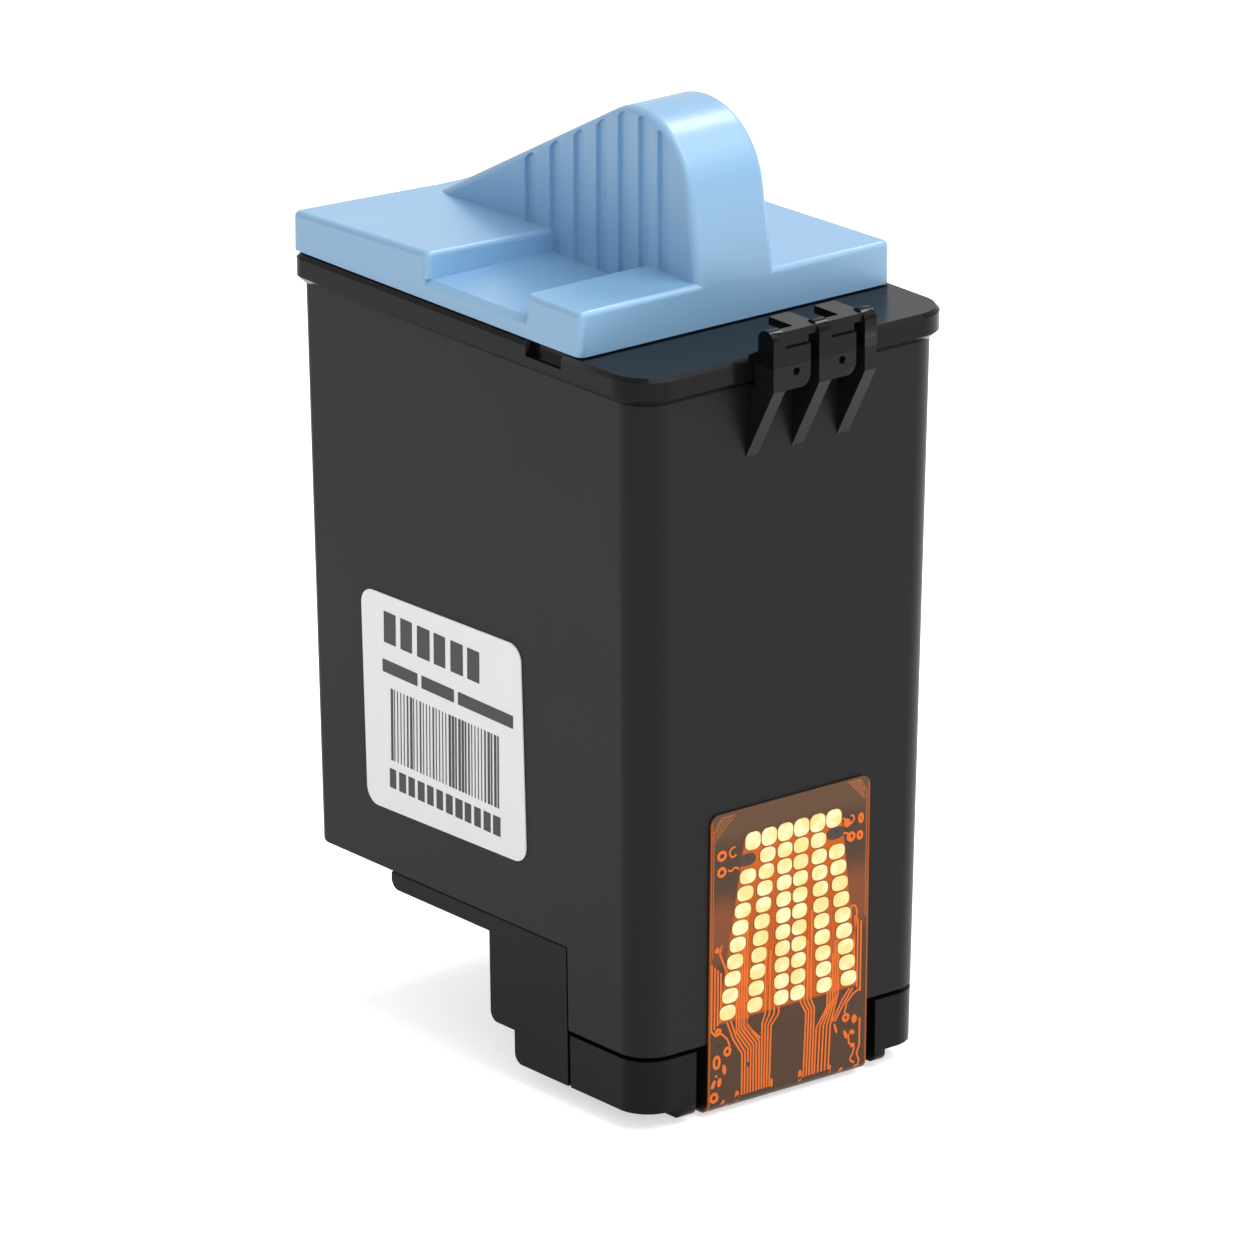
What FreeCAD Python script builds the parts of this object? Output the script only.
import FreeCAD, Part
import math
import os
import Sketcher

# Three-colour inkjet cartridge. X runs across the contact side, +Y away from it and +Z up.
# Every body is drawn about the weld seam between housing and lid, at the centre of the
# housing, and its placement then lifts it so that the lowest point lies at zero.

SIZES = [
    ("body_width", 28.0, "housing, across the contact side, at the seam"),
    ("body_depth", 39.4, "housing, from contact side to rear, at the seam"),
    ("rear_height", 43.3, "seam to the underside of the chambers"),
    ("foot_drop", 6.45, "front foot, below that underside"),
    ("draft", 0.89, "draft of the housing walls, degrees"),
    ("front_radius", 2.5, "upright corners of the contact side"),
    ("rear_radius", 0.8, "upright corners of the rear"),
    ("heel_radius", 0.9, "lower rear edge"),
    ("wall", 1.5, "housing wall"),
    ("chamber_floor", 1.6, "thickness under the chambers"),
    ("divider", 1.2, "walls between the chambers"),
    ("front_chamber", 13.0, "length of the chamber behind the contact side"),
    ("pipe_radius", 2.8, "standpipe, outside"),
    ("pipe_rise", 1.4, "standpipe above the chamber floor"),
    ("pipe_bore", 1.1, "radius of the standpipe's bore"),
    ("rear_pipe_back", 8.2, "rear standpipes, behind the front chamber"),
    ("rim_overhang", 0.7, "lid rim beyond the housing"),
    ("rim_height", 2.15, "lid plate"),
    ("rim_bevel", 0.3, "upper edge of the lid"),
    ("rim_under", 0.5, "lower edge of the rim"),
    ("skirt_depth", 1.6, "lid skirts inside the chambers"),
    ("skirt_wall", 1.2, "thickness of those skirts"),
    ("fit_gap", 0.12, "clearance of pieces that plug into each other"),
    ("notch_start", 8.85, "rim notch, behind the front of the rim"),
    ("notch_length", 4.05, "rim notch, along Y"),
    ("notch_depth", 1.05, "rim notch, below the top of the lid"),
    ("lug_width", 1.1, "each latch lug"),
    ("lug_pitch", 4.2, "from lug to lug"),
    ("lug_middle", 0.45, "middle lug, from the centre plane"),
    ("lug_reach", 3.0, "lugs in front of the housing"),
    ("lug_thickness", 1.75, "free part of a lug, along Y"),
    ("lug_top", 4.45, "top of the lugs above the seam"),
    ("lug_seam", 1.75, "joint between upper and lower half of a lug"),
    ("gusset_drop", 5.5, "gusset below the seam"),
    ("gusset_bury", 0.6, "gusset and lug root inside their wall"),
    ("apron_thickness", 1.0, "cross walls between the lugs"),
    ("apron_gap", 0.8, "free end of a cross wall to the next lug"),
    ("apron_round", 0.9, "lower free corner of a cross wall"),
    ("peephole", 0.3, "radius of the small hole in a cross wall"),
    ("ledge_height", 3.1, "step across the hoods"),
    ("ledge_depth", 0.25, "set-back of a hood above its step"),
    ("hood_top", 4.3, "top of the hoods"),
    ("hood_roof", 0.6, "roof of the hoods"),
    ("hood_width", 1.6, "roof of a hood, beside the next lug"),
    ("hood_length", 3.5, "hoods, along Y"),
    ("cap_edge", 0.35, "blue cap beyond the housing's sides"),
    ("cap_setback", 6.4, "cap behind the housing's front"),
    ("cap_rear_edge", 0.7, "cap beyond the housing's rear"),
    ("cap_gap", 0.12, "shadow gap between lid and cap"),
    ("cap_seat", 0.5, "seat of the cap, in from its edge"),
    ("cap_wall", 1.7, "wall round the hollow underside"),
    ("cap_hollow", 0.9, "depth of the hollow underside"),
    ("cap_top", 5.6, "front pad above the seam"),
    ("far_top", 5.5, "top of the cap's other half, at its front"),
    ("far_fall", 1.3, "fall of that half towards the rear, degrees"),
    ("rear_pad_top", 5.85, "highest corner of the rear pad"),
    ("rear_pad_fall_x", 2.2, "fall of the rear pad towards the fin, degrees"),
    ("rear_pad_fall_y", 2.2, "fall of the rear pad towards the rear, degrees"),
    ("cap_corner", 0.6, "upright corners of the cap"),
    ("cap_round", 0.45, "upper edges of the cap"),
    ("slot_start", 6.4, "finger slot, behind the front of the cap"),
    ("slot_length", 11.3, "finger slot, along Y"),
    ("spine_inset", 0.95, "ends of the pads, inside the fin's sides"),
    ("slot_floor", 3.75, "finger slot floor above the seam"),
    ("post_radius", 1.1, "posts of the cap"),
    ("post_inset", 3.85, "posts, in from the cap's edges"),
    ("fin_front_width", 7.15, "fin at its front"),
    ("fin_rear_width", 4.8, "fin at its rear"),
    ("fin_lean", 2.45, "corner of the fin's front and slope, behind the cap's front"),
    ("fin_crest_z", 20.4, "height of that corner"),
    ("fin_crest_round", 6.3, "radius of the crest"),
    ("fin_end", 1.0, "end of the slope, in front of the cap's rear"),
    ("fin_rear_z", 4.35, "height of the slope's end"),
    ("web_top", 4.75, "web between the pads, behind the fin"),
    ("fin_round", 0.6, "long edges of the fin"),
    ("rib_count", 7.0, "grip grooves on each side"),
    ("rib_start", 4.25, "foremost groove, behind the cap's front"),
    ("rib_pitch", 2.3, "from the foremost groove to the next"),
    ("rib_growth", 0.15, "each further step is longer by this"),
    ("rib_width", 1.25, "width of a groove"),
    ("rib_depth", 0.28, "depth of a groove"),
    ("rib_margin", 0.4, "grooves below the fin's edge"),
    ("snout_gap", 0.15, "joint between snout and front foot"),
    ("strip_back", 15.6, "snout's strip, behind the front chamber"),
    ("strip_height", 1.4, "snout strip"),
    ("leg_front", 5.2, "snout's leg, in front of the front chamber's rear"),
    ("leg_back", 4.0, "snout's leg, behind the front chamber"),
    ("leg_shoulder", 8.35, "shoulder of the leg, below the housing"),
    ("toe_back", 1.2, "toe of the leg, behind the front chamber"),
    ("toe_round", 0.8, "rounded edges of the leg"),
    ("gallery_width", 2.2, "ink galleries in the strip"),
    ("gallery_depth", 0.8, "ink galleries in the strip"),
    ("feed_pitch", 2.2, "three downpipes, side by side"),
    ("feed_bore", 0.8, "radius of the downpipes"),
    ("band_groove", 0.35, "groove between housing and nose band"),
    ("band_height", 4.05, "nose band"),
    ("band_inset", 1.2, "tenon of the band, in from its edge"),
    ("land_margin", 2.2, "land under the nose, beside the flex"),
    ("land_height", 0.9, "land under the nose"),
    ("land_inset", 1.2, "rear end of the land, in front of the toe's rear"),
    ("land_round", 0.7, "front edge of the land, under the flex"),
    ("flex_width", 14.8, "flex circuit"),
    ("flex_middle", 0.2, "flex circuit, from the centre plane"),
    ("flex_rise", 21.95, "top of the flex above the underside of the nose"),
    ("flex_thickness", 0.12, "flex circuit"),
    ("flex_corner", 0.75, "upper corners of the flex"),
    ("flex_tail", 0.6, "end of the flex, in front of the land's rear"),
    ("film_thickness", 0.06, "adhesive behind the flex"),
    ("side_slot", 1.0, "slots in the band, beside the flex"),
    ("side_slot_depth", 1.2, "those slots, along Y"),
    ("pad_pitch_x", 1.51, "contact pads, column to column at the top"),
    ("pad_pitch_z", 1.267, "contact pads, row to row"),
    ("pad_drop", 2.75, "first row below the top of the flex"),
    ("pad_middle", 0.42, "pad field, from the centre plane"),
    ("pad_width", 1.36, "one contact pad, across"),
    ("pad_height", 1.16, "one contact pad, upright"),
    ("pad_thickness", 0.05, "gold of a contact pad"),
    ("die_width", 8.0, "heater chip, across"),
    ("die_length", 9.6, "heater chip, along Y"),
    ("die_thickness", 0.5, "heater chip"),
    ("bond_thickness", 0.1, "adhesive over the chip"),
    ("feed_slot", 0.6, "width of the ink slots"),
    ("feed_slot_length", 7.6, "length of the ink slots"),
    ("plate_thickness", 0.07, "nozzle plate"),
    ("bead_radius", 0.35, "encapsulant beads in the flex's window, at the ends of the chip"),
    ("bead_gap", 0.06, "beads to the nozzle plate and the flex"),
    ("label_width", 18.8, "label, along Y"),
    ("label_height", 16.7, "label, upright"),
    ("label_back", 6.6, "label, in front of the housing's rear"),
    ("label_foot", 4.9, "label, above the underside of the chambers"),
    ("label_corner", 1.3, "corners of the label"),
    ("label_thickness", 0.1, "label"),
    ("label_tilt", 1.0, "label as stuck on, degrees"),
    ("foam_gap", 0.3, "foam to the chamber walls"),
    ("foam_top", 2.0, "foam below the seam"),
    ("filter_radius", 2.4, "filter screens"),
    ("filter_thickness", 0.15, "filter screens"),
    ("plug_radius", 1.5, "fill holes"),
    ("plug_head", 2.2, "head of a fill plug, radius"),
    ("plug_head_height", 0.6, "head of a fill plug"),
    ("fill_back", 4.3, "front fill hole, behind the front of the cap"),
    ("vent_offset", 3.6, "vent hole beside each fill hole"),
    ("vent_radius", 0.5, "vent holes"),
    ("vent_channel", 0.6, "width of the vent channels"),
    ("vent_channel_depth", 0.35, "depth of the vent channels"),
    ("seal_thickness", 0.1, "film over the vents"),
]

PAD_COLUMN_DRIFT = (-0.217, -0.115, -0.02, -0.016, 0.082, 0.161)  # sideways step per row
PAD_ROWS = 11
OUTER_COLUMNS = (0, 5)
BARE_ROW = 1  # the outer columns have no pad here

doc = FreeCAD.newDocument("ink_cartridge")
sheet = doc.addObject("Spreadsheet::Sheet", "Sizes")


class Size:
    """A number, together with the spreadsheet formula that gives it."""

    def __init__(self, value, formula=None):
        self.value = float(value)
        self.formula = formula if formula else repr(self.value)

    def _join(self, other, sign, value):
        return Size(value, "(%s %s %s)" % (self.formula, sign, other.formula))

    def __add__(self, other):
        other = as_size(other)
        return self._join(other, "+", self.value + other.value)

    def __sub__(self, other):
        other = as_size(other)
        return self._join(other, "-", self.value - other.value)

    def __mul__(self, other):
        other = as_size(other)
        return self._join(other, "*", self.value * other.value)

    def __truediv__(self, other):
        other = as_size(other)
        return self._join(other, "/", self.value / other.value)

    def __radd__(self, other):
        return as_size(other) + self

    def __rsub__(self, other):
        return as_size(other) - self

    def __rmul__(self, other):
        return as_size(other) * self

    def __neg__(self):
        return Size(-self.value, "(0 - %s)" % self.formula)


def as_size(number):
    return number if isinstance(number, Size) else Size(number)


def tangent(angle):
    return Size(math.tan(math.radians(angle.value)), "tan(%s)" % angle.formula)


class Cells:
    """The driving dimensions by name."""


s = Cells()
for row, (alias, number, note) in enumerate(SIZES, start=1):
    sheet.set("A%d" % row, note)
    sheet.set("B%d" % row, str(number))
    sheet.setAlias("B%d" % row, alias)
    setattr(s, alias, Size(number, "Sizes." + alias))
doc.recompute()

ZERO = Size(0)

# Places that several pieces share
body_height = s.rear_height + s.foot_drop
beyond = body_height * 2  # longer than anything that is cut through
outside = s.body_width / 5  # clear of any outline that is cut from outside
slope = tangent(s.draft)
half_width = s.body_width / 2
half_depth = s.body_depth / 2
cavity_depth = s.rear_height - s.chamber_floor
divider_y = s.wall + s.front_chamber - half_depth
rear_chamber_y = (divider_y + s.divider + half_depth - s.wall) / 2
foot_rear_y = divider_y - s.leg_front
leg_rear_y = divider_y + s.leg_back
strip_rear_y = divider_y + s.strip_back
toe_rear_y = divider_y + s.toe_back
front_pipe_y = divider_y - s.leg_front * 0.69
rear_pipe_y = divider_y + s.rear_pipe_back
rear_pipe_x = half_width * 0.45
lug_front_y = 0 - half_depth - s.lug_reach
rim_front_y = 0 - half_depth - s.rim_overhang
cap_bottom = s.rim_height + s.cap_gap
half_cap = half_width + s.cap_edge
cap_front_y = s.cap_setback - half_depth
cap_rear_y = half_depth + s.cap_rear_edge
slot_front_y = cap_front_y + s.slot_start
slot_rear_y = slot_front_y + s.slot_length
fin_crest_y = cap_front_y + s.fin_lean
fin_rear_y = cap_rear_y - s.fin_end
band_top = body_height + s.band_groove
nose_bottom = band_top + s.band_height
land_bottom = nose_bottom + s.land_height
land_rear_y = toe_rear_y - s.land_inset
flex_tail_y = land_rear_y - s.flex_tail
flex_top = nose_bottom - s.flex_rise
frame_shift = (s.lug_reach - s.rim_overhang) / 2
lowest = land_bottom + s.bead_radius


def wall_y(depth):
    """Contact side of the housing at a depth below the seam."""
    return slope * depth - half_depth


die_middle_y = (wall_y(land_bottom) + land_rear_y) / 2


def bind(thing, name, size):
    thing.setExpression(name, as_size(size).formula)


def plane_of(body, role):
    return [one for one in body.Origin.OriginFeatures if one.Role == role][0]


def new_body(label):
    body = doc.addObject("PartDesign::Body", label)
    body.Label = label
    seat(body)
    return body


def seat(thing, x=ZERO, y=ZERO, z=ZERO):
    """Lift a piece from the seam's frame into the frame of the whole part."""
    bind(thing, "Placement.Base.x", x)
    bind(thing, "Placement.Base.y", frame_shift + y)
    bind(thing, "Placement.Base.z", lowest + z)


def new_sketch(body, name, role, lift=ZERO):
    made = body.newObject("Sketcher::SketchObject", name)
    made.AttachmentSupport = [(plane_of(body, role), "")]
    made.MapMode = "FlatFace"
    bind(made, "AttachmentOffset.Base.z", lift)
    return made


def fix_point(sketch, line, end, x, y):
    for kind, size, axis in (("DistanceX", x, -2), ("DistanceY", y, -1)):
        if abs(size.value) < 1e-9:
            sketch.addConstraint(Sketcher.Constraint("PointOnObject", line, end, axis))
            continue
        index = sketch.addConstraint(Sketcher.Constraint(kind, -1, 1, line, end, size.value))
        bind(sketch, "Constraints[%d]" % index, size)


def polygon(sketch, corners):
    corners = [(as_size(x), as_size(y)) for x, y in corners]
    count = len(corners)
    first = sketch.GeometryCount
    ends = [FreeCAD.Vector(x.value, y.value, 0) for x, y in corners]
    for i in range(count):
        sketch.addGeometry(Part.LineSegment(ends[i], ends[(i + 1) % count]))
    for i in range(count):
        following = first + (i + 1) % count
        sketch.addConstraint(Sketcher.Constraint("Coincident", first + i, 2, following, 1))
    for i, (x, y) in enumerate(corners):
        fix_point(sketch, first + i, 1, x, y)


def rectangle(sketch, left, right, low, high):
    polygon(sketch, [(left, low), (right, low), (right, high), (left, high)])


def circle(sketch, x, y, radius):
    x = as_size(x)
    y = as_size(y)
    middle = FreeCAD.Vector(x.value, y.value, 0)
    axis = FreeCAD.Vector(0, 0, 1)
    line = sketch.addGeometry(Part.Circle(middle, axis, radius.value))
    index = sketch.addConstraint(Sketcher.Constraint("Radius", line, radius.value))
    bind(sketch, "Constraints[%d]" % index, radius)
    fix_point(sketch, line, 3, x, y)


def settle(feature):
    """Recompute, and stop at a feature that has failed."""
    doc.recompute()
    if feature.Shape.isNull() or not feature.isValid():
        raise RuntimeError("%s can't be built" % feature.Name)
    return feature


def extrude(body, kind, sketch, length, flip=False, both=False, taper=None):
    feature = body.newObject("PartDesign::" + kind, kind + sketch.Name)
    feature.Profile = sketch
    bind(feature, "Length", length)
    feature.Reversed = flip
    feature.Midplane = both
    if taper is not None:
        bind(feature, "TaperAngle", taper)
    return settle(feature)


def pad(body, sketch, length, **more):
    return extrude(body, "Pad", sketch, length, **more)


def pocket(body, sketch, length, **more):
    before = body.Tip.Shape.Volume
    made = extrude(body, "Pocket", sketch, length, **more)
    if made.Shape.Volume > before - 1e-4:
        raise RuntimeError("%s removes nothing from %s" % (sketch.Name, body.Label))
    return made


def pattern(body, feature, pitch, count):
    made = body.newObject("PartDesign::LinearPattern", feature.Name + "Row")
    made.Originals = [feature]
    made.Direction = (plane_of(body, "X_Axis"), [""])
    made.Mode = "Spacing"
    bind(made, "Offset", pitch)
    made.Occurrences = count
    body.Tip = made
    return settle(made)


def edges_where(shape, test):
    return ["Edge%d" % (i + 1) for i, edge in enumerate(shape.Edges) if test(edge)]


def soften(body, kind, name, size, test):
    """Round or bevel the edges of the body that pass the test."""
    base = body.Tip
    chosen = edges_where(base.Shape, test)
    if not chosen:
        raise RuntimeError("no edge found for %s of %s" % (name, body.Label))
    made = body.newObject("PartDesign::" + kind, name)
    made.Base = (base, chosen)
    bind(made, "Radius" if kind == "Fillet" else "Size", size)
    return settle(made)


def round_off(body, name, size, test):
    return soften(body, "Fillet", name, size, test)


def ends_of(edge):
    return [vertex.Point for vertex in edge.Vertexes]


def is_upright(edge, least):
    ends = ends_of(edge)
    if len(ends) != 2:
        return False
    return abs(ends[0].z - ends[1].z) > least and ends[0].distanceToPoint(ends[1]) < least * 40


def lies_at(edge, axis, place, slack=0.02):
    """True for an edge whose every point has this coordinate."""
    low = getattr(edge.BoundBox, axis + "Min")
    high = getattr(edge.BoundBox, axis + "Max")
    return abs(low - place) < slack and abs(high - place) < slack


def outline(sketch, inset, depth=ZERO):
    """Section of the housing at a depth, moved in by an inset."""
    side = half_width - inset - slope * depth
    end = half_depth - inset - slope * depth
    rectangle(sketch, 0 - side, side, 0 - end, end)


def chamber_sides(name, inset):
    """Plan of one chamber at the seam, as left, right, low and high sides."""
    side = half_width - s.wall
    front = s.wall - half_depth
    middle = s.divider / 2
    rear = half_depth - s.wall
    sides = {
        "front": (0 - side, side, front, divider_y),
        "left": (0 - side, 0 - middle, divider_y + s.divider, rear),
        "right": (middle, side, divider_y + s.divider, rear),
    }
    left, right, low, high = sides[name]
    return left + inset, right - inset, low + inset, high - inset


CHAMBERS = ("front", "left", "right")
pipe_place = {
    "front": (ZERO, front_pipe_y),
    "left": (0 - rear_pipe_x, rear_pipe_y),
    "right": (rear_pipe_x, rear_pipe_y),
}
fill_place = {
    "front": (ZERO, cap_front_y + s.fill_back),
    "left": (0 - rear_pipe_x, rear_chamber_y),
    "right": (rear_pipe_x, rear_chamber_y),
}
post_x = half_cap - s.post_inset
post_places = [(post_x * side, y) for side in (-1, 1)
               for y in (cap_front_y + s.post_inset, cap_rear_y - s.post_inset)]
lug_first = s.lug_middle - s.lug_pitch
bays = [(lug_first + s.lug_width / 2 + s.lug_pitch * i,
         lug_first - s.lug_width / 2 + s.lug_pitch * (i + 1)) for i in range(2)]


def lean_walls(body, *sides):
    """Draft the flat outer walls that face these ways, hinged at the seam."""
    base = body.Tip
    names = []
    for i, face in enumerate(base.Shape.Faces):
        normal = face.normalAt(0, 0)
        if any(normal.dot(FreeCAD.Vector(*side)) > 0.99 for side in sides):
            names.append("Face%d" % (i + 1))
    made = body.newObject("PartDesign::Draft", "Lean" + body.Label.title().replace("_", ""))
    made.Base = (base, names)
    bind(made, "Angle", s.draft)
    made.NeutralPlane = (plane_of(body, "XY_Plane"), [""])
    made.Reversed = False
    settle(made)
    if made.Shape.Volume > base.Shape.Volume:
        made.Reversed = True
        settle(made)
    return made


LEFT = (-1, 0, 0)
RIGHT = (1, 0, 0)
FRONT = (0, -1, 0)
REAR = (0, 1, 0)


def upright_corners(body, front, rear, least):
    """Round the upright outer corners, wide at the contact side and tight at the rear."""
    limit = half_width.value * 0.8

    def outer(edge, towards_front):
        if not is_upright(edge, least):
            return False
        middle = edge.BoundBox.Center
        return abs(middle.x) > limit and (middle.y < 0) == towards_front

    round_off(body, "FrontCorners", front, lambda edge: outer(edge, True))
    round_off(body, "RearCorners", rear, lambda edge: outer(edge, False))


# Housing

def make_body_shell():
    body = new_body("body_shell")
    plan = new_sketch(body, "ShellPlan", "XY_Plane")
    outline(plan, ZERO)
    pad(body, plan, body_height, flip=True)
    lean_walls(body, LEFT, RIGHT, FRONT, REAR)
    upright_corners(body, s.front_radius, s.rear_radius, s.rear_height.value)

    step = new_sketch(body, "RearStep", "YZ_Plane")
    far_end = half_depth - slope * s.rear_height
    level = 0 - s.rear_height
    polygon(step, [(foot_rear_y, 0 - beyond), (half_depth + outside, 0 - beyond),
                   (half_depth + outside, level + s.heel_radius),
                   (far_end + s.fit_gap / 6, level + s.heel_radius),
                   (far_end - s.heel_radius * 0.29, level + s.heel_radius * 0.29),
                   (far_end - s.heel_radius, level), (foot_rear_y, level)])
    pocket(body, step, beyond, both=True)

    for name in CHAMBERS:
        plan = new_sketch(body, "Chamber" + name.title(), "XY_Plane")
        rectangle(plan, *chamber_sides(name, ZERO))
        pocket(body, plan, cavity_depth, taper=0 - s.draft)
    for name in CHAMBERS:
        x, y = pipe_place[name]
        pipe = new_sketch(body, "Pipe" + name.title(), "XY_Plane", 0 - cavity_depth)
        circle(pipe, x, y, s.pipe_radius)
        pad(body, pipe, s.pipe_rise)
        bore = new_sketch(body, "Bore" + name.title(), "XY_Plane", s.pipe_rise - cavity_depth)
        circle(bore, x, y, s.pipe_bore)
        pocket(body, bore, (s.pipe_rise + s.chamber_floor) * 1.5)

    gusset = new_sketch(body, "Gusset", "YZ_Plane", lug_first - s.lug_width / 2)
    root_y = s.gusset_bury - half_depth
    tip_y = wall_y(s.gusset_drop)
    bury_drop = s.gusset_drop * (root_y - lug_front_y) / (tip_y - lug_front_y)
    clear_y = rim_front_y - s.fit_gap
    polygon(gusset, [(lug_front_y, s.lug_seam), (lug_front_y, ZERO), (root_y, 0 - bury_drop),
                     (root_y, ZERO), (clear_y, ZERO), (clear_y, s.lug_seam)])
    pattern(body, pad(body, gusset, s.lug_width), s.lug_pitch, 3)

    for i, (left, right) in enumerate(bays):
        apron = new_sketch(body, "Apron%d" % (i + 1), "XZ_Plane", 0 - lug_front_y)
        rectangle(apron, left - s.gusset_bury / 2, right - s.apron_gap, ZERO, s.lug_seam)
        circle(apron, left + s.apron_thickness, s.lug_seam / 1.4, s.peephole)
        pad(body, apron, s.apron_thickness, flip=True)
    free = [(right - s.apron_gap).value for left, right in bays]
    round_off(body, "ApronCorners", s.apron_round,
              lambda edge: lies_at(edge, "Z", 0) and any(lies_at(edge, "X", x) for x in free))
    return body


# Lid

def make_lid():
    body = new_body("lid")
    plan = new_sketch(body, "LidPlan", "XY_Plane")
    outline(plan, 0 - s.rim_overhang)
    pad(body, plan, s.rim_height)
    upright_corners(body, s.front_radius + s.rim_overhang, s.rear_radius + s.rim_overhang,
                    s.rim_height.value / 2)
    top = s.rim_height.value
    soften(body, "Chamfer", "RimEdge", s.rim_bevel, lambda edge: lies_at(edge, "Z", top))
    soften(body, "Chamfer", "RimUnder", s.rim_under, lambda edge: lies_at(edge, "Z", 0))

    for name in CHAMBERS:
        skirt = new_sketch(body, "Skirt" + name.title(), "XY_Plane")
        rectangle(skirt, *chamber_sides(name, s.fit_gap))
        rectangle(skirt, *chamber_sides(name, s.fit_gap + s.skirt_wall))
        pad(body, skirt, s.skirt_depth, flip=True)

    notch = new_sketch(body, "RimNotch", "XY_Plane", s.rim_height)
    start = rim_front_y + s.notch_start
    rectangle(notch, 0 - half_width - outside, 0 - half_width, start, start + s.notch_length)
    pocket(body, notch, s.notch_depth)

    holes = new_sketch(body, "PostHoles", "XY_Plane", s.rim_height)
    for x, y in post_places:
        circle(holes, x, y, s.post_radius + s.fit_gap)
    pocket(body, holes, s.rim_height + s.skirt_depth)

    for name in CHAMBERS:
        x, y = fill_place[name]
        fill = new_sketch(body, "Fill" + name.title(), "XY_Plane", s.rim_height)
        circle(fill, x, y, s.plug_radius)
        pocket(body, fill, s.rim_height + s.skirt_depth)
        head = new_sketch(body, "FillSeat" + name.title(), "XY_Plane", s.rim_height)
        circle(head, x, y, s.plug_head + s.fit_gap)
        pocket(body, head, s.plug_head_height)
        vent = new_sketch(body, "Vent" + name.title(), "XY_Plane", s.rim_height)
        circle(vent, x + s.vent_offset, y, s.vent_radius)
        pocket(body, vent, s.rim_height + s.skirt_depth)
        channel = new_sketch(body, "Channel" + name.title(), "XY_Plane", s.rim_height)
        half = s.vent_channel / 2
        near = x + s.vent_offset
        far = near + s.vent_offset / 2
        reach = s.vent_offset
        polygon(channel, [
            (near - half, y - half), (far + half, y - half), (far + half, y + reach),
            (near + half, y + reach), (near + half, y + reach * 1.4), (near - half, y + reach * 1.4),
            (near - half, y + reach - s.vent_channel), (far - half, y + reach - s.vent_channel),
            (far - half, y + half), (near - half, y + half)])
        pocket(body, channel, s.vent_channel_depth)

    lug = new_sketch(body, "Lug", "YZ_Plane", lug_first - s.lug_width / 2)
    back_y = lug_front_y + s.lug_thickness
    root_y = rim_front_y + s.gusset_bury
    polygon(lug, [(lug_front_y, s.lug_seam), (root_y, s.lug_seam), (root_y, s.rim_height),
                  (back_y, s.rim_height + s.gusset_bury), (back_y, s.lug_top),
                  (lug_front_y, s.lug_top)])
    pattern(body, pad(body, lug, s.lug_width), s.lug_pitch, 3)
    crown = s.lug_top.value
    round_off(body, "LugCrowns", s.lug_thickness / 2 - 0.02,
              lambda edge: lies_at(edge, "Z", crown)
              and (lies_at(edge, "Y", lug_front_y.value) or lies_at(edge, "Y", back_y.value)))

    for i, (left, right) in enumerate(bays):
        left = left - s.gusset_bury / 2
        free = right - s.apron_gap
        upper = new_sketch(body, "HoodFoot%d" % (i + 1), "XZ_Plane", 0 - lug_front_y)
        rectangle(upper, left, free, s.lug_seam, s.ledge_height)
        pad(body, upper, s.apron_thickness, flip=True)
        face = new_sketch(body, "HoodFace%d" % (i + 1), "XZ_Plane",
                          0 - lug_front_y - s.ledge_depth)
        rectangle(face, left, free, s.ledge_height - s.ledge_depth, s.hood_top)
        pad(body, face, s.apron_thickness - s.ledge_depth, flip=True)
        roof = new_sketch(body, "HoodRoof%d" % (i + 1), "XZ_Plane",
                          0 - lug_front_y - s.ledge_depth)
        rectangle(roof, right - s.hood_width, right + s.gusset_bury / 2,
                  s.hood_top - s.hood_roof, s.hood_top)
        pad(body, roof, s.hood_length, flip=True)
    return body


# Cap

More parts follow.
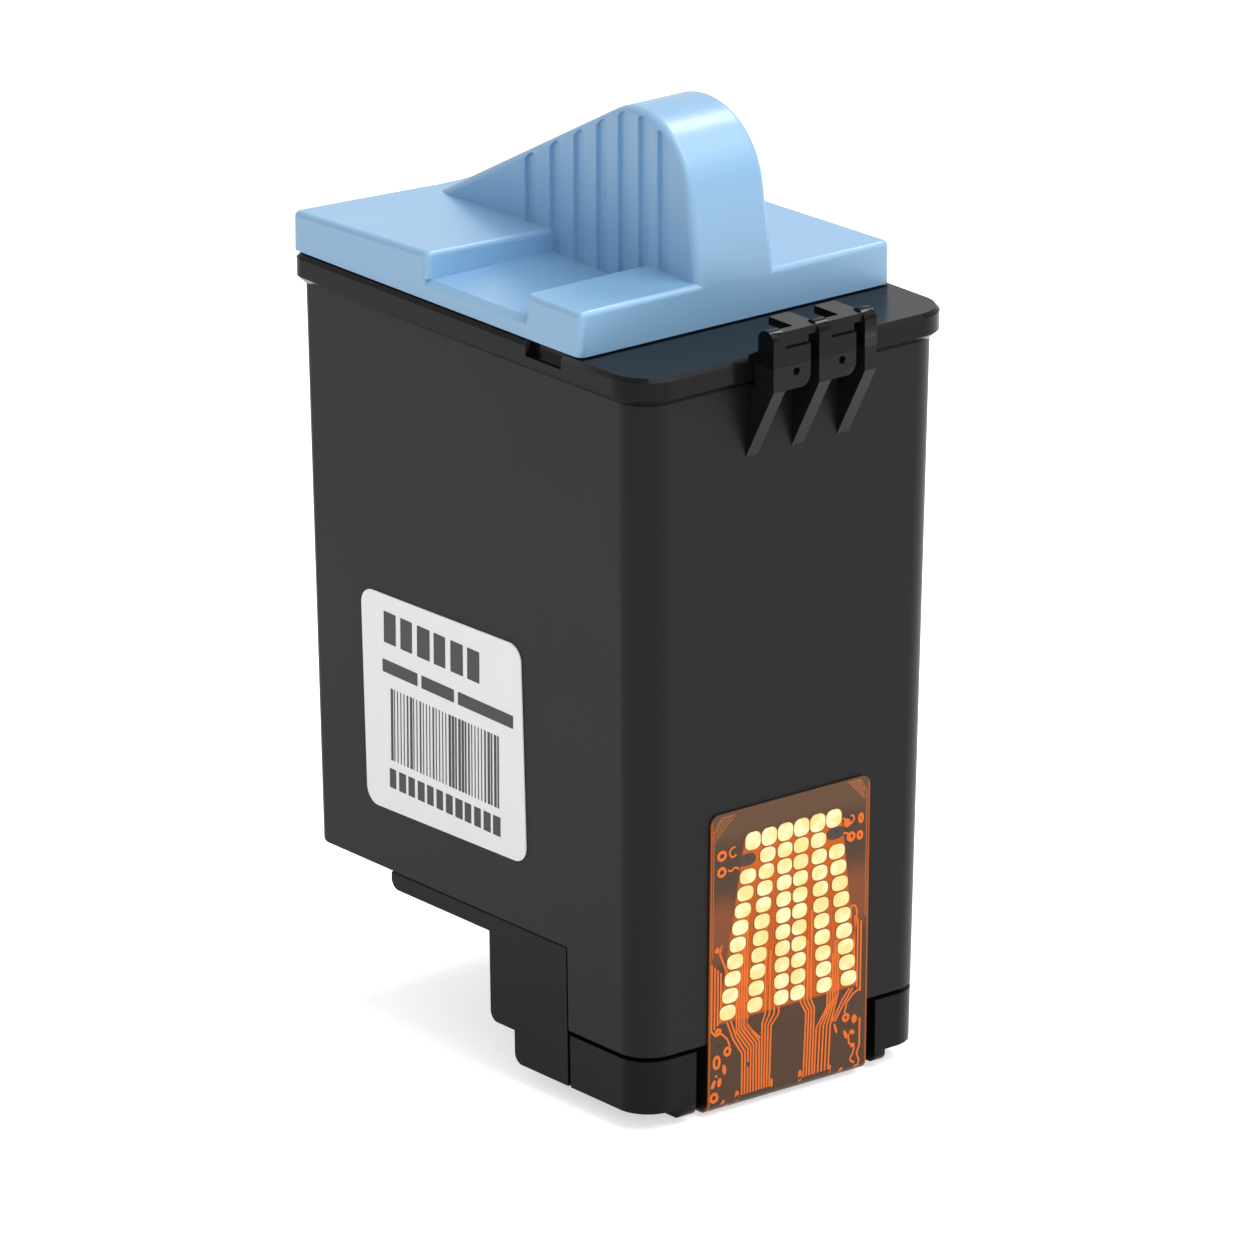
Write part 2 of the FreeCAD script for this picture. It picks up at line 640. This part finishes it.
def make_cap_base():
    body = new_body("cap_base")
    length = cap_rear_y - cap_front_y
    plan = new_sketch(body, "CapPlan", "XY_Plane", cap_bottom)
    rectangle(plan, 0 - half_cap, half_cap, cap_front_y, cap_rear_y)
    pad(body, plan, s.rear_pad_top - cap_bottom)
    front = new_sketch(body, "FrontPadTop", "XY_Plane", s.rear_pad_top)
    rectangle(front, 0 - half_cap - outside, half_cap + outside, cap_front_y - outside, slot_rear_y)
    pocket(body, front, s.rear_pad_top - s.cap_top)
    slot = new_sketch(body, "FingerSlot", "XY_Plane", s.rear_pad_top)
    rectangle(slot, 0 - half_cap - outside, ZERO, slot_front_y, slot_rear_y)
    pocket(body, slot, s.rear_pad_top - s.slot_floor)
    sloping_cut(body, "RearPadFall", (0 - half_cap, slot_rear_y, s.rear_pad_top),
                s.rear_pad_fall_x, s.rear_pad_fall_y,
                (0 - outside, half_cap + s.spine_inset / 4, 0 - s.cap_wall, length))
    sloping_cut(body, "FarHalfFall", (ZERO, cap_front_y, s.far_top), ZERO, s.far_fall,
                (ZERO, half_cap + outside, 0 - outside, length + outside * 2))

    # the gap lets the pads' rounded edges end under the fin
    gap = new_sketch(body, "SpineGap", "XY_Plane", s.rear_pad_top)
    front_half = s.fin_front_width / 2 - s.spine_inset
    rear_half = s.fin_rear_width / 2 - s.spine_inset
    polygon(gap, [(0 - front_half, cap_front_y - outside), (front_half, cap_front_y - outside),
                  (rear_half, cap_rear_y + outside), (0 - rear_half, cap_rear_y + outside)])
    pocket(body, gap, s.rear_pad_top - s.slot_floor)
    limit = half_cap.value * 0.9
    round_off(body, "CapCorners", s.cap_corner,
              lambda edge: is_upright(edge, 1) and abs(edge.BoundBox.Center.x) > limit)
    low_edge = (s.slot_floor + s.cap_round / 2).value
    round_off(body, "CapEdges", s.cap_round,
              lambda edge: edge.BoundBox.ZMin > low_edge and not is_upright(edge, 0.6))
    lip = new_sketch(body, "SlotLip", "XZ_Plane", s.cap_corner / 2 - slot_front_y)
    reach = s.cap_round
    polygon(lip, [(0 - half_cap - reach, s.slot_floor - reach * 2),
                  (reach - half_cap, s.slot_floor), (0 - half_cap - reach, s.slot_floor)])
    pocket(body, lip, s.slot_length + s.cap_corner)
    web = new_sketch(body, "Web", "XY_Plane", s.slot_floor)
    reach = rear_half + s.cap_round * 2
    rectangle(web, 0 - reach, reach, fin_rear_y - s.cap_wall, cap_rear_y - s.cap_round)
    pad(body, web, s.web_top - s.slot_floor)
    underside(body)
    return body


def make_fin():
    body = new_body("fin")
    foot = s.slot_floor - s.cap_round
    plan = new_sketch(body, "FinPlan", "XY_Plane", foot)
    front_half = s.fin_front_width / 2
    rear_half = s.fin_rear_width / 2
    polygon(plan, [(0 - front_half, cap_front_y), (front_half, cap_front_y),
                   (rear_half, fin_rear_y), (0 - rear_half, fin_rear_y)])
    pad(body, plan, s.fin_crest_z - foot)
    trim = new_sketch(body, "FinProfile", "YZ_Plane")
    sky = s.fin_crest_z + outside
    front = cap_front_y - outside
    polygon(trim, [(cap_front_y, s.cap_top), (fin_crest_y, s.fin_crest_z),
                   (fin_rear_y, s.fin_rear_z), (fin_rear_y, sky), (front, sky), (front, s.cap_top)])
    pocket(body, trim, beyond, both=True)
    crest = s.fin_crest_z.value
    round_off(body, "FinCrest", s.fin_crest_round,
              lambda edge: lies_at(edge, "Z", crest, 0.05) and edge.BoundBox.XLength > 2)
    round_off(body, "FinEdges", s.fin_round,
              lambda edge: edge.BoundBox.ZLength > 1
              and (edge.BoundBox.YLength > 1 or edge.BoundBox.YMax < 0))
    for side in (-1, 1):
        make_grooves(body, side)
    return body


def make_grip_cap():
    cap = doc.addObject("Part::Fuse", "grip_cap")
    cap.Label = "grip_cap"
    cap.Base = make_cap_base()
    cap.Tool = make_fin()
    cap.Refine = True
    return settle(cap)


def sloping_cut(body, name, corner, fall_x, fall_y, plan):
    """Remove what lies above a plane that falls towards +X and +Y from a corner."""
    sketch = new_sketch(body, name, "XY_Plane")
    sketch.setExpression("AttachmentOffset.Base.z", None)
    about_y = FreeCAD.Rotation(FreeCAD.Vector(0, 1, 0), fall_x.value)
    about_x = FreeCAD.Rotation(FreeCAD.Vector(1, 0, 0), -fall_y.value)
    place = FreeCAD.Vector(*[part.value for part in corner])
    sketch.AttachmentOffset = FreeCAD.Placement(place, about_y.multiply(about_x))
    rectangle(sketch, *plan)
    pocket(body, sketch, s.cap_top, flip=True)


def fin_top(y):
    """Height of the fin's upper edge at a place along Y, as a number."""
    crest_y = fin_crest_y.value
    crest_z = s.fin_crest_z.value
    fall = math.atan2(crest_z - s.fin_rear_z.value, fin_rear_y.value - crest_y)
    lean = math.atan2(s.fin_lean.value, (s.fin_crest_z - s.cap_top).value)
    between = math.pi / 2 + lean - fall
    radius = s.fin_crest_round.value
    reach = radius / math.sin(between / 2)
    centre_y = crest_y + reach * math.cos(fall + between / 2)
    centre_z = crest_z - reach * math.sin(fall + between / 2)
    if y > centre_y + radius * math.sin(fall):
        return crest_z - (y - crest_y) * math.tan(fall)
    return centre_z + math.sqrt(radius ** 2 - (y - centre_y) ** 2)


def make_grooves(body, side):
    """Upright grip grooves whose blunt tops follow the fin's edge."""
    narrowing = (s.fin_front_width - s.fin_rear_width) / 2 / (fin_rear_y - cap_front_y)
    taper = math.degrees(math.atan(narrowing.value))
    name = "Left" if side < 0 else "Right"
    sketch = new_sketch(body, "Grooves" + name, "YZ_Plane")
    sketch.setExpression("AttachmentOffset.Base.z", None)
    start = FreeCAD.Vector(cap_front_y.value, 0, side * s.fin_front_width.value / 2)
    sketch.AttachmentOffset = FreeCAD.Placement(
        start, FreeCAD.Rotation(FreeCAD.Vector(0, 1, 0), side * taper))
    half = s.rib_width / 2
    along = s.rib_start
    for i in range(int(s.rib_count.value)):
        tops = []
        for share in (1, 0.4, -0.4, -1):
            y = along + half * share
            top = fin_top((cap_front_y + y).value) - s.rib_margin
            tops.append((y, top - half * 0.4 if abs(share) == 1 else top))
        polygon(sketch, [(along - half, s.slot_floor), (along + half, s.slot_floor)] + tops)
        along = along + s.rib_pitch + s.rib_growth * i
    pocket(body, sketch, s.rib_depth, flip=side < 0)


def underside(body):
    seat_plan = new_sketch(body, "CapSeat", "XY_Plane", cap_bottom)
    rectangle(seat_plan, s.cap_seat - half_cap, half_cap - s.cap_seat,
              cap_front_y + s.cap_seat, cap_rear_y - s.cap_seat)
    pad(body, seat_plan, s.cap_gap, flip=True)
    hollow = new_sketch(body, "CapHollow", "XY_Plane", s.rim_height)
    rectangle(hollow, s.cap_wall - half_cap, half_cap - s.cap_wall,
              cap_front_y + s.cap_wall, cap_rear_y - s.cap_wall)
    pocket(body, hollow, s.cap_hollow, flip=True)
    posts = new_sketch(body, "Posts", "XY_Plane", s.rim_height + s.cap_hollow)
    for x, y in post_places:
        circle(posts, x, y, s.post_radius)
    pad(body, posts, s.cap_hollow + s.rim_height, flip=True)


# Snout and nose

def make_snout():
    body = new_body("snout")
    front_y = foot_rear_y + s.snout_gap
    height = nose_bottom - s.rear_height
    plan = new_sketch(body, "SnoutPlan", "XY_Plane", 0 - s.rear_height)
    rectangle(plan, 0 - half_width, half_width, front_y, strip_rear_y)
    pad(body, plan, height, flip=True)
    lean_walls(body, LEFT, RIGHT)
    cut = new_sketch(body, "BehindLeg", "YZ_Plane")
    strip_bottom = 0 - s.rear_height - s.strip_height
    shoulder = 0 - s.rear_height - s.leg_shoulder
    polygon(cut, [(leg_rear_y, strip_bottom), (strip_rear_y + outside, strip_bottom),
                  (strip_rear_y + outside, 0 - beyond), (toe_rear_y, 0 - beyond),
                  (toe_rear_y, shoulder), (leg_rear_y, shoulder)])
    pocket(body, cut, beyond, both=True)
    corners = [(leg_rear_y, shoulder), (strip_rear_y, strip_bottom)]
    round_off(body, "LegEdges", s.toe_round,
              lambda edge: any(lies_at(edge, "Y", y.value, 0.2) and lies_at(edge, "Z", z.value)
                               for y, z in corners))
    round_off(body, "ToeEdge", s.toe_round,
              lambda edge: lies_at(edge, "Z", -nose_bottom.value)
              and lies_at(edge, "Y", toe_rear_y.value, 0.2))
    roof = -s.rear_height.value
    soften(body, "Chamfer", "Witness", s.snout_gap,
           lambda edge: lies_at(edge, "Z", roof))

    for i, name in enumerate(("left", "front", "right")):
        x = s.feed_pitch * (i - 1)
        if name != "front":
            pipe_x, pipe_y = pipe_place[name]
            half = s.gallery_width / 2
            gallery = new_sketch(body, "Gallery" + name.title(), "XY_Plane", 0 - s.rear_height)
            polygon(gallery, [(x - half / 2, front_pipe_y - half), (x + half / 2, front_pipe_y - half),
                              (x + half / 2, front_pipe_y + half), (pipe_x + half, pipe_y - half),
                              (pipe_x + half, pipe_y + half), (pipe_x - half, pipe_y + half),
                              (pipe_x - half, pipe_y - half), (x - half / 2, front_pipe_y + half)])
            pocket(body, gallery, s.gallery_depth)
    feeds = new_sketch(body, "Downpipes", "XY_Plane", 0 - s.rear_height)
    for i in range(3):
        circle(feeds, s.feed_pitch * (i - 1), front_pipe_y, s.feed_bore)
    pocket(body, feeds, height * 1.2)
    return body


def make_nose_frame():
    body = new_body("nose_frame")
    plan = new_sketch(body, "BandPlan", "XY_Plane", 0 - band_top)
    side = half_width - slope * band_top
    rear_y = foot_rear_y - s.snout_gap
    rectangle(plan, 0 - half_width, half_width, 0 - half_depth, rear_y)
    pad(body, plan, s.band_height, flip=True)
    lean_walls(body, LEFT, RIGHT, FRONT)
    front_limit = rear_y.value - 1
    round_off(body, "BandCorners", s.front_radius,
              lambda edge: is_upright(edge, s.band_groove.value)
              and edge.BoundBox.Center.y < front_limit)
    tenon = new_sketch(body, "Tenon", "XY_Plane", 0 - band_top)
    rectangle(tenon, s.band_inset - side, side - s.band_inset,
              wall_y(band_top) + s.band_inset, rear_y - s.band_inset)
    pad(body, tenon, s.band_groove)
    land = new_sketch(body, "Land", "XY_Plane", 0 - nose_bottom)
    half_land = s.flex_width / 2 + s.land_margin
    rectangle(land, 0 - half_land, half_land, wall_y(land_bottom), land_rear_y)
    pad(body, land, s.land_height, flip=True)
    low = -land_bottom.value
    front = wall_y(land_bottom).value
    round_off(body, "LandEdge", s.land_round,
              lambda edge: lies_at(edge, "Z", low) and lies_at(edge, "Y", front))
    slots = new_sketch(body, "SideSlots", "XY_Plane", 0 - band_top)
    flex_left = s.flex_middle - s.flex_width / 2
    flex_right = s.flex_middle + s.flex_width / 2
    deep = wall_y(band_top) + s.side_slot_depth
    open_y = 0 - half_depth - outside
    rectangle(slots, flex_left - s.side_slot, flex_left, open_y, deep)
    rectangle(slots, flex_right, flex_right + s.side_slot, open_y, deep)
    pocket(body, slots, (s.band_height + s.land_height) * 1.2)
    seat_depth = s.die_thickness + s.bond_thickness
    die = new_sketch(body, "DieSeat", "XY_Plane", 0 - land_bottom)
    die_plan(die, s.fit_gap)
    pocket(body, die, seat_depth, flip=True)
    feeds = new_sketch(body, "FeedSlots", "XY_Plane", seat_depth - land_bottom)
    feed_slots(feeds)
    pocket(body, feeds, s.land_height - seat_depth + 0.3, flip=True)
    return body


def die_plan(sketch, grow):
    rectangle(sketch, 0 - s.die_width / 2 - grow, s.die_width / 2 + grow,
              die_middle_y - s.die_length / 2 - grow, die_middle_y + s.die_length / 2 + grow)


def feed_slots(sketch):
    for i in range(3):
        x = s.feed_pitch * (i - 1)
        rectangle(sketch, x - s.feed_slot / 2, x + s.feed_slot / 2,
                  die_middle_y - s.feed_slot_length / 2, die_middle_y + s.feed_slot_length / 2)


def make_head():
    """Adhesive, chip and nozzle plate, from the nose downwards."""
    level = s.die_thickness + s.bond_thickness - land_bottom
    for label, thickness, slotted in (("die_bond", s.bond_thickness, True),
                                      ("heater_chip", s.die_thickness, True),
                                      ("nozzle_plate", s.plate_thickness, False)):
        body = new_body(label)
        plan = new_sketch(body, "Plan" + label.title().replace("_", ""), "XY_Plane", level)
        die_plan(plan, ZERO)
        if slotted:
            feed_slots(plan)
        pad(body, plan, thickness, flip=True)
        level = level - thickness


def make_bond_seals():
    """Two beads of encapsulant along the ends of the chip."""
    lying = FreeCAD.Rotation(FreeCAD.Vector(0, -1, 0), FreeCAD.Vector(0, 0, -1),
                             FreeCAD.Vector(1, 0, 0), "XYZ")
    beads = []
    for i, end in enumerate((-1, 1)):
        bead = doc.addObject("Part::Cylinder", "Bead%d" % (i + 1))
        bind(bead, "Radius", s.bead_radius)
        bind(bead, "Height", s.die_width)
        bead.Angle = 180
        bead.Placement.Rotation = lying
        reach = s.die_length / 2 + s.bead_radius + s.bead_gap
        seat(bead, 0 - s.die_width / 2, die_middle_y + reach * end, 0 - land_bottom)
        beads.append(bead)
    group = doc.addObject("Part::Compound", "bond_seals")
    group.Label = "bond_seals"
    group.Links = beads


# Flex circuit and its adhesive

def bent_sheet(label, offset, thickness):
    """A sheet that lies on the contact side and turns under the nose."""
    body = new_body(label)
    inner_low = 0 - land_bottom - offset
    outer_low = inner_low - thickness
    top_y = wall_y(flex_top) - offset
    inner_y = wall_y(0 - inner_low) - offset
    outer_y = wall_y(0 - outer_low) - offset - thickness
    profile = new_sketch(body, "Profile" + label.title().replace("_", ""), "YZ_Plane",
                         s.flex_middle - s.flex_width / 2)
    polygon(profile, [(top_y, 0 - flex_top), (inner_y, inner_low), (flex_tail_y, inner_low),
                      (flex_tail_y, outer_low), (outer_y, outer_low),
                      (top_y - thickness, 0 - flex_top)])
    pad(body, profile, s.flex_width)
    inner_bend = s.land_round + offset
    for name, level, y, radius in (("BendInside", inner_low, inner_y, inner_bend),
                                   ("BendOutside", outer_low, outer_y, inner_bend + thickness)):
        round_off(body, name, radius, lambda edge: lies_at(edge, "Z", level.value)
                  and lies_at(edge, "Y", y.value) and edge.BoundBox.XLength > 5)
    top = -flex_top.value
    round_off(body, "TopCorners", s.flex_corner,
              lambda edge: lies_at(edge, "Z", top) and edge.BoundBox.XLength < 0.01)
    window = new_sketch(body, "Window" + label.title().replace("_", ""), "XY_Plane",
                        outer_low - thickness)
    die_plan(window, (s.bead_radius + s.bead_gap) * 2)
    pocket(body, window, thickness * 4, flip=True)
    return body


def make_contact_pads():
    """Rounded gold pads in fanned columns, on the drafted face of the flex."""
    half_w = s.pad_width.value / 2
    half_h = s.pad_height.value / 2
    cut = half_h * 0.55
    thick = s.pad_thickness.value
    solids = []
    for column, drift in enumerate(PAD_COLUMN_DRIFT):
        for row in range(PAD_ROWS):
            if column in OUTER_COLUMNS and row == BARE_ROW:
                continue
            x = s.pad_middle.value + s.pad_pitch_x.value * (column - 2.5) + drift * row
            z = -((flex_top + s.pad_drop).value + s.pad_pitch_z.value * row)
            corners = [(half_w - cut, half_h), (half_w, half_h - cut), (half_w, cut - half_h),
                       (half_w - cut, -half_h), (cut - half_w, -half_h), (-half_w, cut - half_h),
                       (-half_w, half_h - cut), (cut - half_w, half_h)]
            points = [FreeCAD.Vector(x + dx, 0, z + dz) for dx, dz in corners]
            face = Part.Face(Part.makePolygon(points + points[:1]))
            solids.append(face.extrude(FreeCAD.Vector(0, -thick, 0)))
    made = doc.addObject("Part::Feature", "contact_pads")
    made.Label = "contact_pads"
    made.Shape = Part.makeCompound(solids)
    lift = s.film_thickness + s.flex_thickness
    seat(made, y=0 - half_depth - lift)
    made.Placement.Rotation = FreeCAD.Rotation(FreeCAD.Vector(1, 0, 0), s.draft.value)
    return made


def make_label():
    body = new_body("label")
    plan = new_sketch(body, "LabelPlan", "YZ_Plane")
    rectangle(plan, 0 - s.label_width / 2, s.label_width / 2,
              0 - s.label_height / 2, s.label_height / 2)
    pad(body, plan, s.label_thickness, flip=True)
    round_off(body, "LabelCorners", s.label_corner, lambda edge: edge.BoundBox.XLength > 0.05
              and edge.BoundBox.YLength < 0.01 and edge.BoundBox.ZLength < 0.01)
    depth = s.rear_height - s.label_foot - s.label_height / 2
    middle_y = half_depth - s.label_back - s.label_width / 2
    seat(body, slope * depth - half_width, middle_y, 0 - depth)
    lean = FreeCAD.Rotation(FreeCAD.Vector(0, 1, 0), -s.draft.value)
    tilt = FreeCAD.Rotation(FreeCAD.Vector(1, 0, 0), -s.label_tilt.value)
    body.Placement.Rotation = lean.multiply(tilt)
    return body


# Inside the chambers

def make_foams():
    pipe_top = cavity_depth - s.pipe_rise
    filter_top = pipe_top - s.filter_thickness
    for name in CHAMBERS:
        body = new_body("foam_" + name)
        plan = new_sketch(body, "FoamPlan" + name.title(), "XY_Plane", 0 - s.foam_top)
        rectangle(plan, *chamber_sides(name, s.foam_gap + slope * s.foam_top))
        pad(body, plan, filter_top - s.foam_top, flip=True, taper=0 - s.draft)
        screen = doc.addObject("Part::Cylinder", "filter_" + name)
        screen.Label = "filter_" + name
        bind(screen, "Radius", s.filter_radius)
        bind(screen, "Height", s.filter_thickness)
        x, y = pipe_place[name]
        seat(screen, x, y, 0 - pipe_top)


def make_plugs():
    for name in CHAMBERS:
        x, y = fill_place[name]
        stem = doc.addObject("Part::Cylinder", "stem_" + name)
        bind(stem, "Radius", s.plug_radius - s.fit_gap / 2)
        bind(stem, "Height", s.rim_height)
        head = doc.addObject("Part::Cylinder", "head_" + name)
        bind(head, "Radius", s.plug_head)
        bind(head, "Height", s.plug_head_height)
        bind(head, "Placement.Base.z", s.rim_height - s.plug_head_height)
        plug = doc.addObject("Part::Fuse", "plug_" + name)
        plug.Label = "plug_" + name
        plug.Base = stem
        plug.Tool = head
        plug.Refine = True
        seat(plug, x, y)


def make_vent_seals():
    """Films over the vent channels, which stay open at their far ends."""
    clear = s.plug_head + s.fit_gap * 2
    reach = s.vent_offset * 1.5 + s.vent_channel
    for name, left, right in (("front", fill_place["front"][0], fill_place["front"][0]),
                              ("rear", fill_place["left"][0], fill_place["right"][0])):
        y = fill_place["front"][1] if name == "front" else rear_chamber_y
        low = y - s.vent_offset / 2 if name == "front" else y - clear - 0.3
        body = new_body("vent_seal_" + name)
        plan = new_sketch(body, "SealPlan" + name.title(), "XY_Plane", s.rim_height)
        rectangle(plan, left + clear, right + reach, low, y + s.vent_offset * 1.2)
        if name == "rear":
            circle(plan, right, y, clear)
        pad(body, plan, s.seal_thickness)


make_body_shell()
make_lid()
make_grip_cap()
make_snout()
make_nose_frame()
make_head()
make_bond_seals()
bent_sheet("flex_adhesive", ZERO, s.film_thickness)
bent_sheet("flex_circuit", s.film_thickness, s.flex_thickness)
make_contact_pads()
make_label()
make_foams()
make_plugs()
make_vent_seals()
doc.recompute()

NODES = ["body_shell", "lid", "grip_cap", "snout", "nose_frame", "die_bond", "heater_chip",
         "nozzle_plate", "bond_seals", "flex_adhesive", "flex_circuit", "contact_pads", "label",
         "foam_front", "foam_left", "foam_right", "filter_front", "filter_left", "filter_right",
         "plug_front", "plug_left", "plug_right", "vent_seal_front", "vent_seal_rear"]

for thing in doc.Objects:
    if "Invalid" in thing.State or "Error" in thing.State:
        raise RuntimeError("%s failed: %s" % (thing.Name, thing.State))
for node in NODES:
    shape = doc.getObject(node).Shape
    if shape.isNull() or not shape.isValid() or not shape.Solids:
        raise RuntimeError("%s has no valid solid" % node)
os.makedirs("parts", exist_ok=True)
for node in NODES:
    shape = doc.getObject(node).Shape
    shape.exportStep("parts/%s.step" % node)
    print("%-14s %2d solids %9.2f mm3" % (node, len(shape.Solids), shape.Volume))
